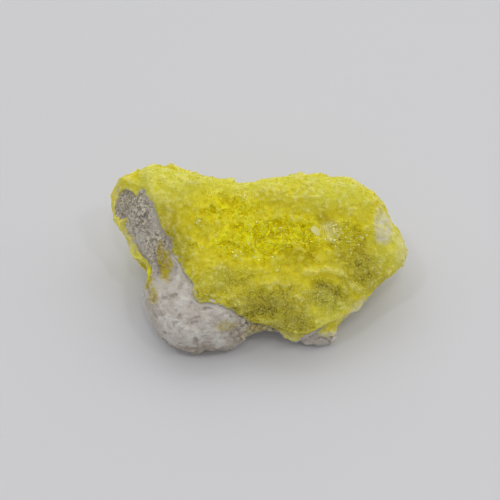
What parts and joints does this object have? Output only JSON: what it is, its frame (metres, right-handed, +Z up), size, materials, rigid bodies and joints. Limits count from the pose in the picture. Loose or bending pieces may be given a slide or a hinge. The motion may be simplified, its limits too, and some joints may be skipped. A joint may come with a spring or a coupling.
{
  "type": "native sulfur crystal specimen",
  "caption": "Natural specimen of yellow native sulfur: an intergrown crystal crust on a lump of pale altered rock, lying on its flat underside.",
  "frame": {"origin": "on the table under the middle of the lump's box", "axes": "+Z up, +X to the right along the lump's length, +Y to the higher back edge"},
  "size_m": [0.0764, 0.045, 0.0314],
  "materials": {
    "altered_rock": "matt chalky white to grey altered rock with a gritty broken face",
    "native_sulfur": "yellow granular sulfur, resinous and part see-through in the middle, powdery towards the rim"
  },
  "bodies": {
    "root": {"matrix_rock": "altered_rock", "sulfur_crust": "native_sulfur"}
  },
  "joints": []
}
